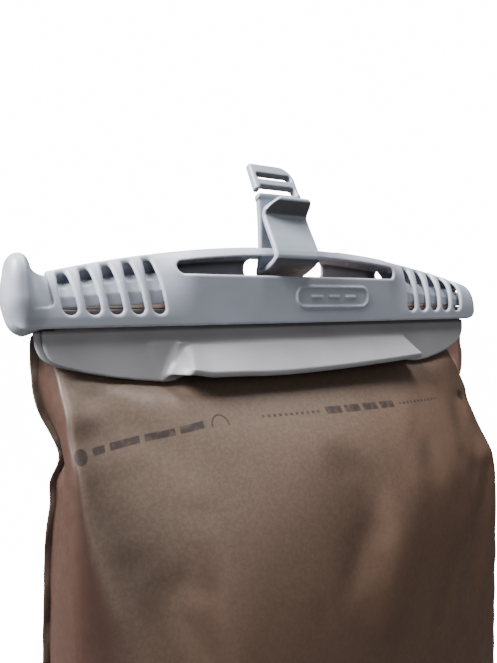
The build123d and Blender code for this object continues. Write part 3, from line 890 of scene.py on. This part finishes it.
# ---- the bag
BAG_TOP, BAG_BOTTOM = -27.0, -365.0
BEAD = (-1.0, -17.6)
FILM_THICK = 0.35
SIDE_STRIP = 6              # columns of cells in each side wall
FRONT_COLUMNS = 44
BAG_ROWS = 92
FLANGE_WIDTH = 2.4          # welded edge that stands out past the seam
PORT_Z = -300.0
PORT_HOLE, PORT_HELD = 18.0, 21.5
SEAM_GAP = 0.12             # from the seam's middle to the middle of each film
CLOTH_FRAMES = 24
CLOTH_SLACK = 1.022
MOST_SWELL = 3.6
CLOTH = {
    "vertex_group_mass": "held", "quality": 6, "mass": 0.25, "air_damping": 4,
    "tension_stiffness": 25, "compression_stiffness": 25, "shear_stiffness": 8, "bending_stiffness": 0.6,
    "use_pressure": True, "uniform_pressure_force": 3.0,
}
BUTTON_MIDDLE = 21.1        # how far in front of the film the latch plate's middle lies
PORT_FACE = -39.0
# Each level's z, then (x, y) of the front wall's corner and (x, y) of the seam. Both sides have
# the same lower part, given here for the right.
LOWER_EDGE = [
    (-200, 88.8, -24.4, 87.6, 0.0), (-300, 88.6, -24.0, 87.0, 0.0), (-335, 87.6, -17.0, 86.4, 0.0),
    (-352, 85.0, -8.5, 85.4, 0.0), (-365, 82.0, -0.6, 82.6, 0.0),
]
LEFT_EDGE = [
    (-27, -88.0, -1.0, -90.6, 0.4), (-31, -87.6, -2.0, -90.8, 1.6), (-38, -87.0, -4.6, -90.2, 2.6),
    (-44, -87.4, -10.8, -89.9, 2.4), (-50, -88.0, -15.8, -88.6, 1.6), (-56, -88.0, -18.2, -85.6, 0.4),
    (-61, -88.0, -21.8, -83.2, -0.6), (-65, -88.2, -22.8, -82.8, -0.8), (-71, -88.4, -23.8, -85.8, 0.0),
    (-76, -88.4, -24.0, -84.9, 0.0), (-86, -88.6, -24.2, -86.6, 0.4), (-110, -88.8, -24.2, -87.2, 0.0),
] + [(z, -x, y, -seam_x, seam_y) for z, x, y, seam_x, seam_y in LOWER_EDGE]
RIGHT_EDGE = [
    (-27, 86.0, -1.0, 87.6, 0.0), (-31, 80.5, -2.0, 90.4, -1.6), (-38, 79.6, -5.2, 90.4, -2.6),
    (-45, 83.4, -7.6, 90.0, -2.8), (-52, 86.4, -8.8, 89.2, -2.4), (-59, 88.4, -10.0, 87.8, -1.6),
    (-66, 88.8, -13.2, 86.0, -0.8), (-73, 89.2, -17.2, 85.4, 0.0), (-80, 89.8, -22.4, 85.8, 0.2),
    (-88, 89.8, -24.0, 86.4, 0.0), (-110, 89.2, -24.2, 87.0, 0.0),
] + LOWER_EDGE
# folds that the filling pulls into the front wall: (x, z) ends, height, half width
CREASES = [
    ((-85.0, -44.0), (-52.0, -74.0), 1.1, 3.0), ((-87.0, -43.5), (-66.0, -45.5), -1.6, 1.6),
    ((-84.0, -62.0), (-60.0, -92.0), 0.7, 3.5), ((86.0, -56.0), (64.0, -84.0), 0.9, 3.4),
    ((87.0, -60.0), (76.0, -58.0), -1.2, 2.0), ((40.0, -60.0), (10.0, -120.0), 0.6, 7.0),
    ((-70.0, -120.0), (-40.0, -170.0), 0.6, 6.0), ((72.0, -240.0), (40.0, -200.0), 0.7, 6.0),
]
BACK_CREASES = [
    ((-84.0, -40.0), (-40.0, -92.0), 1.2, 4.0), ((84.0, -38.0), (46.0, -86.0), 1.1, 4.0),
    ((-30.0, -34.0), (-18.0, -80.0), 0.7, 4.5), ((34.0, -34.0), (20.0, -76.0), 0.7, 4.5),
    ((-80.0, -350.0), (-50.0, -300.0), 1.0, 5.0), ((80.0, -348.0), (52.0, -296.0), 1.0, 5.0),
]


def edge_at(table, z):
    """Front corner and seam at height z."""
    rows = np.array(table)[::-1]
    return [np.interp(z, rows[:, 0], rows[:, i]) for i in range(1, 5)]


def swelling(z, start, reach, power):
    """0 at the bag's two ends, and 1 where the filling keeps its walls fully apart."""
    swell = 1 - np.exp(-((np.maximum(start - z, 0) / reach) ** power))
    close = 1 - np.exp(-((np.maximum(z - BAG_BOTTOM, 0) / 27.0) ** 1.4))
    return swell * close


def front_depth(z):
    """How far the front wall's middle stands forward."""
    return 1.2 + 37.0 * swelling(z, -30.0, 34.0, 2.2)


def back_depth(z):
    return 0.3 + 25.0 * swelling(z, BAG_TOP, 46.0, 1.7)


def flap_cover(x, z):
    """Greatest depth that the front wall may have where the flaps hold it back."""
    line = np.array(FLAP_CONTOUR)
    below = np.interp(x, line[:, 0], line[:, 1]) - z
    behind = -flap_middle(INNER_LIP_Y, z) - LIP_HALF_THICK - FILM_THICK - 0.3
    return np.where(below < 0, behind, behind + 1.9 * below)


def front_row(z):
    """One level of the front film, from the left seam round the front to the right seam."""
    lcx, lcy, lsx, lsy = edge_at(LEFT_EDGE, z)
    rcx, rcy, rsx, rsy = edge_at(RIGHT_EDGE, z)
    share = np.linspace(-1, 1, FRONT_COLUMNS + 1)
    across = lcx + (rcx - lcx) * (share + 1) / 2
    corner = -(lcy + (rcy - lcy) * (share + 1) / 2)
    depth = corner + (front_depth(z) - corner) * (1 - np.abs(share) ** 2.2)
    depth = np.minimum(depth, np.maximum(flap_cover(across, z), 0.6))
    step = np.linspace(0, 1, SIDE_STRIP + 1)[:-1]

    def side(seam_x, seam_y, corner_x, corner_depth):
        x = seam_x + (corner_x - seam_x) * step ** 0.7
        return [(a, b, z) for a, b in zip(x, seam_y + (-corner_depth - seam_y) * step)]

    middle = [(x, -d, z) for x, d in zip(across, depth)]
    return side(lsx, lsy, lcx, depth[0]) + middle + side(rsx, rsy, rcx, depth[-1])[::-1]


def back_row(z):
    """One level of the back film between the same two seams."""
    left, right = edge_at(LEFT_EDGE, z), edge_at(RIGHT_EDGE, z)
    columns = FRONT_COLUMNS + 2 * SIDE_STRIP
    share = np.sin(np.linspace(-math.pi / 2, math.pi / 2, columns + 1))
    share = 0.6 * share + 0.4 * np.linspace(-1, 1, columns + 1)
    across = left[2] + (right[2] - left[2]) * (share + 1) / 2
    seam = left[3] + (right[3] - left[3]) * (share + 1) / 2
    depth = seam + back_depth(z) * np.maximum(1 - np.abs(share) ** 2.6, 0) ** 0.7
    return [(x, y, z) for x, y in zip(across, depth)]


def bag_grid():
    """Both walls before they are inflated, as rows x columns x 3."""
    share = np.linspace(0, 1, BAG_ROWS + 1)
    levels = BAG_TOP + (BAG_BOTTOM - BAG_TOP) * (share + 0.10 * np.sin(2 * math.pi * share) / -2)
    front = np.array([front_row(z) for z in levels])
    back = np.array([back_row(z) for z in levels])
    return front, back


def inflate(front, back):
    """Cloth simulation of the filled bag: held at the mouth, the seams, the port and the bottom."""
    rows, columns, _ = front.shape
    inner = back[:, 1:-1]
    points = np.concatenate([front.reshape(-1, 3), inner.reshape(-1, 3)])
    count = rows * columns
    front_numbers = np.arange(count).reshape(rows, columns)
    inner_numbers = np.arange(count, len(points)).reshape(rows, columns - 2)
    back_numbers = np.hstack([front_numbers[:, :1], inner_numbers, front_numbers[:, -1:]]).ravel()
    sheet = grid_faces(rows, columns)
    faces = sheet + [tuple(back_numbers[[a, d, c, b]]) for a, b, c, d in sheet]
    body = mesh_object("bag_cloth", points, faces)

    centre = points.mean(0)
    body.shape_key_add(name="Basis")
    cut_shape = body.shape_key_add(name="cut")
    for i, point in enumerate((centre + (points - centre) * CLOTH_SLACK) * MM):
        cut_shape.data[i].co = point

    held_front, held_back = np.zeros(front.shape[:2], bool), np.zeros(inner.shape[:2], bool)
    for held in (held_front, held_back):
        held[:3] = held[-1] = True
    held_front[:, [0, -1]] = True
    pinned = np.concatenate([held_front.ravel(), held_back.ravel()])
    from_port = np.hypot(points[:, 0], points[:, 2] - PORT_Z)
    pinned |= (from_port < PORT_HELD) & (points[:, 1] < 0)
    group = body.vertex_groups.new(name="held")
    group.add(np.nonzero(pinned)[0].tolist(), 1.0, "REPLACE")

    cloth = body.modifiers.new("cloth", "CLOTH")
    cloth.settings.rest_shape_key = cut_shape
    cloth.settings.effector_weights.gravity = 0
    for key, value in CLOTH.items():
        setattr(cloth.settings, key, value)
    scene = bpy.context.scene
    scene.frame_start, scene.frame_end = 1, CLOTH_FRAMES
    cloth.point_cache.frame_end = CLOTH_FRAMES
    for frame_number in range(1, CLOTH_FRAMES + 1):
        scene.frame_set(frame_number)
    evaluated = body.evaluated_get(bpy.context.evaluated_depsgraph_get())
    moved = np.empty(len(points) * 3)
    evaluated.data.vertices.foreach_get("co", moved)
    bpy.data.objects.remove(body)
    scene.frame_set(1)

    shift = moved.reshape(-1, 3) / MM - points
    length = np.sqrt((shift ** 2).sum(1))
    shift *= (MOST_SWELL * np.tanh(length / MOST_SWELL) / np.maximum(length, 1e-9))[:, None]
    points = points + shift
    new_front = points[:count].reshape(front.shape)
    new_back = back.copy()
    new_back[:, 1:-1] = points[count:].reshape(inner.shape)
    new_back[:, 0], new_back[:, -1] = new_front[:, 0], new_front[:, -1]
    return new_front, new_back


def neck_rows(radius, film_y):
    """(y, z) line of the film from the strips up over the bead and down through the mouth."""
    line = [(BEAD[0] - radius, LIP_TOP + 0.2), (BEAD[0] - radius, BEAD[1] - 1)]
    for turn in range(0, 181, 15):
        angle = math.radians(180 - turn)
        line.append((BEAD[0] + radius * math.cos(angle), BEAD[1] + radius * math.sin(angle)))
    line += [(BEAD[0] + radius * 0.8, BEAD[1] - 2.4), (film_y, BAR_BOTTOM + 2.4), (film_y, BAR_BOTTOM - 0.3)]
    return line


def folded_rows(top, neck):
    """The film's fold inside the bar, gathered a little over the bead."""
    rows = []
    for y, z in neck:
        along = np.clip(top[:, 0], -FOLD_HALF, FOLD_HALF)
        tongue = FOLD_TONGUE * smoothstep(z, -24.5, -20.5)
        along += tongue * np.clip((along - 76.0) / (top[-1, 0] - 76.0), 0, 1)
        pucker = 0.35 * np.sin(along * 2 * math.pi / VENT_PITCH) * (z > BEAD[1] - 2)
        rows.append(np.stack([along, np.full_like(along, y), z + pucker], 1))
    return np.array(rows)


def film(name, grid, neck, flange_side, node):
    """A film wall: its fold, its simulated wall and its half of the welded edge."""
    rows = np.concatenate([folded_rows(grid[0], neck), grid])
    z = rows[:, 0, 2]
    in_bag = np.arange(len(rows)) >= len(neck)
    wave = (0.5 * np.sin(z * 0.31) + 0.35 * np.sin(z * 0.83 + 1.0)) * in_bag

    def weld(end, side, share):
        x = rows[:, end, 0] + side * FLANGE_WIDTH * in_bag * share
        y = rows[:, end, 1] + flange_side * SEAM_GAP + wave * share
        return np.stack([x, y, z], 1)[:, None]

    wide = [weld(0, -1, 1.0), weld(0, -1, 0.5), rows, weld(-1, 1, 0.5), weld(-1, 1, 1.0)]
    wide = np.concatenate(wide, 1)
    below = [wide[-1:] - (0, 0, 2.2 * share) for share in (0.5, 1.0)]
    wide = np.concatenate([wide] + below)
    points = wide.reshape(-1, 3) + (0, MIDDLE, 0)
    faces = []
    for face in grid_faces(*wide.shape[:2]):
        centre = points[list(face)].mean(0)
        if flange_side > 0:
            faces.append(face[::-1])
        elif math.hypot(centre[0], centre[2] - PORT_Z) >= PORT_HOLE:
            faces.append(face)
    obj = mesh_object(name, points, faces)
    smooth = obj.modifiers.new("subdivision", "SUBSURF")
    smooth.levels = smooth.render_levels = 1
    thick = obj.modifiers.new("thickness", "SOLIDIFY")
    thick.thickness = FILM_THICK * MM
    thick.offset = -1
    cast(obj, FRONT_FILM if flange_side < 0 else BACK_FILM, "reservoir", "film", node)


def crease(wall, creases, outward):
    """Long soft folds, and puckers where the film is gathered by its seams."""
    x, z = wall[..., 0].copy(), wall[..., 2].copy()
    for start, end, height, width in creases:
        away = path_2d(x, z, [start, end])
        wall[..., 1] += outward * height * np.exp(-((away / width) ** 2))
    from_side = np.maximum(88.0 - np.abs(x), 0)
    from_bottom = np.maximum(z - BAG_BOTTOM, 0)
    side = np.sin(z * 0.47 + 1.6 * np.sin(z * 0.083) + np.sign(x)) * np.exp(-((from_side - 5.0) / 5.0) ** 2)
    side *= smoothstep(-z, 92.0, 130.0) * smoothstep(from_bottom, 6.0, 30.0)
    low = np.sin(x * 0.36 + 1.3 * np.sin(x * 0.071)) * np.exp(-((from_bottom - 9.0) / 6.0) ** 2)
    low *= smoothstep(from_side, 4.0, 16.0)
    wall[..., 1] += outward * (0.55 * side + 0.8 * low)


def bag():
    front, back = bag_grid()
    front, back = inflate(front, back)
    crease(front, CREASES, -1)
    crease(back, BACK_CREASES, 1)
    cover = flap_cover(front[..., 0], front[..., 2])
    front[..., 1] = np.maximum(front[..., 1], -np.maximum(cover, 0.6))
    film("front_wall_film", front, neck_rows(3.1, -0.75), -1, "front_film")
    film("back_wall_film", back, neck_rows(3.55, 0.3), 1, "back_film")


# ---- the outlet port
# radius, near and far end of each step of the socket's bore
SOCKET_BORE = [
    (13.05, 0.0, 7.2), (9.05, 6.0, 9.2), (3.8, 8.0, 13.0), (4.6, 12.0, 18.0), (5.5, 13.6, 15.4),
    (6.5, 17.0, 30.0),
]
LATCH_NEAR, LATCH_FAR = 20.0, 22.2


def port_coordinates(p):
    """Height above the port's axis, distance out from the film, and distance from the axis."""
    x, y, z = p
    up = z - PORT_Z
    return x, up, PORT_FACE - y, np.hypot(x, up)


def ring_profile(out, radius, inner, outer, near, far, rounding):
    """A turned ring: between two radii, and between two distances out from the film."""
    return round_max(slab(radius, inner, outer), slab(out, near, far), rounding)


def block(x, half_width, u, u_ends, corner, v, v_ends, edge):
    """A block with corners rounded across x and u, and edges rounded along v."""
    outline = round_max(np.abs(x) - half_width, slab(u, *u_ends), corner)
    return round_max(outline, slab(v, *v_ends), edge)


def flange_distance(p):
    """Welded disc with fine rings on its face, and the neck that the socket screws on."""
    _, _, out, radius = port_coordinates(p)
    plate = ring_profile(out, radius, 10.5, 20.0, -2.4, 1.2, 0.7)
    waves = np.abs(np.mod(radius - 15.9, 1.4) - 0.7) - 0.35
    beads = overlap(waves, np.abs(out - 1.2) - 0.3, slab(radius, 16.2, 19.0))
    plate = round_min(plate, beads, 0.25)
    return round_min(plate, ring_profile(out, radius, 10.5, 13.0, 0.0, 7.0, 0.4), 0.6)


def socket_distance(p):
    """Fluted cap, barrel and latch housing, with a stepped bore."""
    x, up, out, radius = port_coordinates(p)
    flutes = 0.35 * np.cos(24 * np.arctan2(up, x))
    body = ring_profile(out, radius + np.maximum(flutes, 0), 3.8, 15.35, 1.8, 12.0, 1.0)
    body = round_min(body, ring_profile(out, radius, 0.0, 9.6, 10.0, 26.0, 0.9), 1.6)
    body = union(body, ring_profile(out, radius, 8.0, 10.0, 24.0, 25.4, 0.4))
    housing = block(x, 9.5, up, (-13.0, 9.0), 2.2, out, (18.2, 24.0), 0.8)
    body = round_min(body, housing, 1.0)
    latch_depth = slab(out, LATCH_NEAR - 0.15, LATCH_FAR + 0.15)
    latch = overlap(np.abs(x) - 8.1, slab(up, -11.8, 12.0), latch_depth)
    steps = [overlap(radius - wide, slab(out, near, far)) for wide, near, far in SOCKET_BORE]
    return cut(body, union(latch, *steps), 0.35)


def button_distance(p):
    """Latch plate with its hole, stalk and dished thumb button."""
    x, up, out, _ = port_coordinates(p)
    latch = (LATCH_NEAR, LATCH_FAR)
    plate = block(x, 7.9, up, (-8.4, 9.6), 1.6, out, latch, 0.3)
    hole = np.hypot(x, np.maximum(np.abs(up - 1.45) - 0.55, 0)) - 6.8
    plate = cut(plate, hole, 0.25)
    stalk = block(x, 7.0, up, (8.0, 12.6), 0.4, out, latch, 0.3)
    cap = block(x, 7.0, out, (17.0, 23.8), 1.6, up, (11.8, 14.4), 0.8)
    dish = 12.0 - np.hypot(x * 0.55, up - 25.9)
    ridges = 0.18 * np.cos(out * 2 * math.pi / 1.3)
    cap = cut(cap, -(dish + ridges), 0.3)
    return union(round_min(plate, stalk, 0.3), cap)


def port():
    top, far = PORT_Z + 21.0, PORT_FACE - 28.0
    pieces = (
        ("port_weld_flange", flange_distance, (-21, PORT_FACE - 8.0, PORT_Z - 21), (21, PORT_FACE + 3.5, top),
         "port_plastic", PORT_PLASTIC, "port_flange", "reservoir"),
        ("quick_socket", socket_distance, (-17, far, PORT_Z - 17), (17, PORT_FACE - 1.0, PORT_Z + 17),
         "port_plastic", PORT_PLASTIC, "socket_body", "reservoir"),
        ("latch_button", button_distance, (-9, far, PORT_Z - 10), (9, PORT_FACE - 15.5, PORT_Z + 16),
         "button_plastic", BUTTON_PLASTIC, "release_button", "button"),
    )
    for name, distance, low, high, slot, look, node, body in pieces:
        piece = moulded(name, distance, low, high, 0.38)
        cast(piece, look, body, slot, node)


# ---- the springs
def coil(radius, wire, length, turns):
    """Points and faces of a coil along +Z from its own base, with closed ends."""
    steps, sides = 24 * turns, 10
    angle = 2 * math.pi * turns * np.arange(steps + 1) / steps
    turn = 2 * math.pi * np.arange(sides) / sides
    out = radius + wire / 2 * np.cos(turn)
    rise = length * np.arange(steps + 1)[:, None] / steps + wire / 2 * np.sin(turn)
    points = np.stack([np.outer(np.cos(angle), out), np.outer(np.sin(angle), out), rise], 2)
    faces = []
    for a in range(steps * sides):
        b = a + 1 if (a + 1) % sides else a + 1 - sides
        faces.append((a, b, b + sides, a + sides))
    faces.append(tuple(range(sides))[::-1])
    faces.append(tuple(steps * sides + j for j in range(sides)))
    return points.reshape(-1, 3), faces


def spring(name, points, faces, node):
    piece = mesh_object(name, points, faces)
    cast(piece, SPRING_STEEL, "reservoir", "spring_steel", node)
    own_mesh(piece)


def springs():
    """The button's pair of coils and the poppet's coil."""
    points, faces = coil(0.85, 0.4, 2.4, 3)
    away = MIDDLE + PORT_FACE - BUTTON_MIDDLE
    pair = np.concatenate([points + (side, away, PORT_Z - 11.3) for side in (-3.5, 3.5)])
    both = faces + [tuple(i + len(points) for i in face) for face in faces]
    spring("button_coils", pair, both, "button_spring")

    points, faces = coil(3.0, 0.6, 3.3, 3)
    base = MIDDLE + PORT_FACE - 2.9
    laid = np.stack([points[:, 0], base - points[:, 2], PORT_Z + points[:, 1]], 1)
    spring("poppet_coil", laid, faces, "poppet_spring")


# ---- camera, floor, lights
CAMERA_AT = (-131.7, -180.9, -17.4)     # millimetres, from the bar's middle plane
CAMERA_TURN = 32.0
FOCAL_PX = 600.0
IMAGE_LONG_SIDE = 663
HORIZON_RISE = 31.5                     # pixels that the horizon lies above the middle
WORLD_LIGHT = 0.16
WORLD_SEEN = 16.0
FLOOR_GLOW = 15.8
FLOOR_REACH = 8.0


def camera():
    data = bpy.data.cameras.new("camera")
    data.sensor_width = 36.0
    data.sensor_fit = "AUTO"
    data.lens = FOCAL_PX * data.sensor_width / IMAGE_LONG_SIDE
    data.shift_y = -HORIZON_RISE / IMAGE_LONG_SIDE
    data.clip_start = 0.01
    data.clip_end = 20
    obj = add_object("camera", data)
    obj.location = Vector((CAMERA_AT[0], CAMERA_AT[1] + MIDDLE, CAMERA_AT[2])) * MM
    obj.rotation_euler = (math.radians(90), 0, -math.radians(CAMERA_TURN))
    bpy.context.scene.camera = obj


def area_light(name, place, target, size, power):
    data = bpy.data.lights.new(name, "AREA")
    data.shape = "RECTANGLE"
    data.size, data.size_y = size
    data.energy = power
    obj = add_object(name, data)
    obj.location = place
    aim = Vector(target) - Vector(place)
    obj.rotation_euler = aim.to_track_quat("-Z", "Y").to_euler()


def lights():
    area_light("key", (-0.72, 0.06, 0.60), (0, 0, -0.05), (0.5, 0.4), 44.0)
    area_light("top", (0.1, 0.05, 0.9), (0, 0, -0.05), (0.9, 0.3), 16.0)
    area_light("fill", (0.0, -1.1, 0.25), (0, 0, -0.1), (0.9, 0.5), 1.9)


def surroundings():
    """A white studio: bright where the camera sees it, softer where it lights the part."""
    world = bpy.data.worlds.new("studio")
    n = Nodes(world, "Background")
    seen = n.add("ShaderNodeLightPath").outputs["Is Camera Ray"]
    n.look({"Color": (1, 1, 1, 1), "Strength": n.ramp(seen, 0.0, 1.0, WORLD_LIGHT, WORLD_SEEN)})
    bpy.context.scene.world = world


def floor():
    """A pale floor: it glows where the camera sees it, and throws little light back."""
    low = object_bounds()[0][2]
    corners = [(x * FLOOR_REACH, y * FLOOR_REACH, low) for x, y in ((-1, -1), (1, -1), (1, 1), (-1, 1))]
    mesh = bpy.data.meshes.new("floor")
    mesh.from_pydata(corners, [], [(0, 1, 2, 3)])
    obj = add_object("floor", mesh)
    n = new_nodes("floor")
    seen = n.add("ShaderNodeLightPath").outputs["Is Camera Ray"]
    n.look({
        "Base Color": (0.08, 0.08, 0.08, 1), "Roughness": 0.9,
        "Emission Color": (1, 1, 1, 1), "Emission Strength": n.times(seen, FLOOR_GLOW),
    })
    paint(obj, n.material)
    obj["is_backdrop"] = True


camera()
lights()
surroundings()
floor()
slide_bar()
hook()
mouth_strips()
bag()
port()
springs()
paint_kept_nodes()
